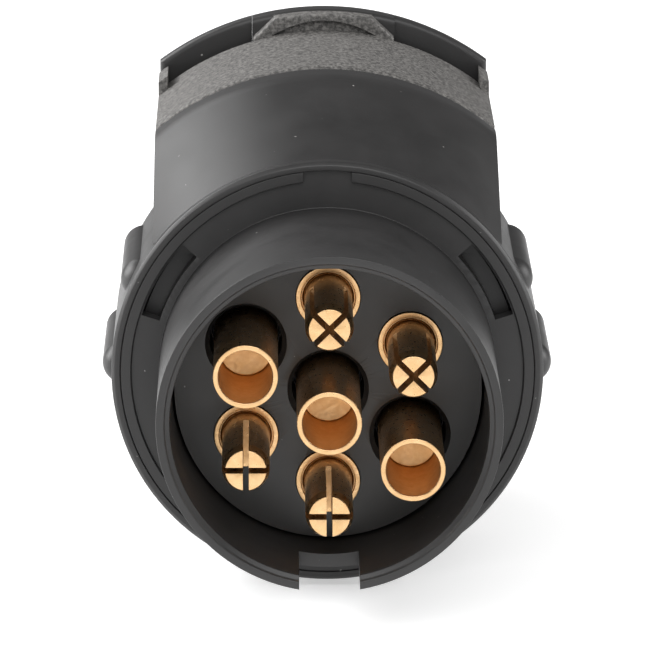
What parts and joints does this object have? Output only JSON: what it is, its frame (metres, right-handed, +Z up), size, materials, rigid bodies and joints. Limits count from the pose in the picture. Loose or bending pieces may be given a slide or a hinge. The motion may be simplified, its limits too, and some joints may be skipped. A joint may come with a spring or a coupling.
{
  "type": "trailer wiring adapter",
  "caption": "Black plastic trailer wiring adapter: a keyed round plug with brass tube and split pin contacts at the front, and a round socket under a spring-loaded lid at the back.",
  "frame": {"origin": "under the middle of the adapter, at the height of its two lowest ribs", "axes": "+Y runs from the plug at the front (-Y) to the lid at the back (+Y), +Z is up towards the saddle and the lid's hinge, +X is to the right seen from the front"},
  "size_m": [0.0504, 0.0702, 0.057],
  "materials": {
    "black_plastic": "satin moulded nylon",
    "grained_plastic": "coarse spark-eroded grain",
    "insulator_plastic": "smooth matt",
    "brass": "machined",
    "rubber": "matt",
    "steel": "zinc plated",
    "wire_insulation": "smooth"
  },
  "bodies": {
    "housing": {"plug_shell": "black_plastic", "plug_insulator": "insulator_plastic", "plug_tube_centre": "brass", "plug_tube_upper_left": "brass", "plug_tube_lower_right": "brass", "plug_pin_top": "brass", "plug_pin_upper_right": "brass", "plug_pin_lower_left": "brass", "plug_pin_bottom": "brass", "front_housing": "black_plastic", "rear_housing": "grained_plastic", "housing_seal": "rubber", "socket_barrel": "black_plastic", "socket_insulator": "insulator_plastic", "socket_contact_1": "brass", "socket_contact_2": "brass", "socket_contact_3": "brass", "socket_contact_4": "brass", "socket_contact_5": "brass", "socket_contact_6": "brass", "socket_contact_7": "brass", "socket_contact_8": "brass", "socket_contact_9": "brass", "socket_contact_10": "brass", "socket_contact_11": "brass", "socket_contact_12": "brass", "socket_contact_13": "brass", "link_wire_1": "wire_insulation", "link_wire_2": "wire_insulation", "link_wire_3": "wire_insulation", "link_wire_4": "wire_insulation", "link_wire_5": "wire_insulation", "link_wire_6": "wire_insulation", "link_wire_7": "wire_insulation", "hinge_pin": "steel", "lid_spring": "steel", "housing_screw_left": "steel", "housing_screw_right": "steel"},
    "lid": {"lid": "black_plastic", "lid_seal": "rubber"}
  },
  "joints": [
    {"name": "lid_hinge", "type": "hinge", "parent": "housing", "child": "lid", "pos_m": [0, 0.0333, 0.05426], "axis": [1, 0, 0], "range_deg": [0, 95], "stiffness_Nm_per_rad": 0.01, "springref_deg": -45.84, "deforming": ["lid_spring"]}
  ]
}
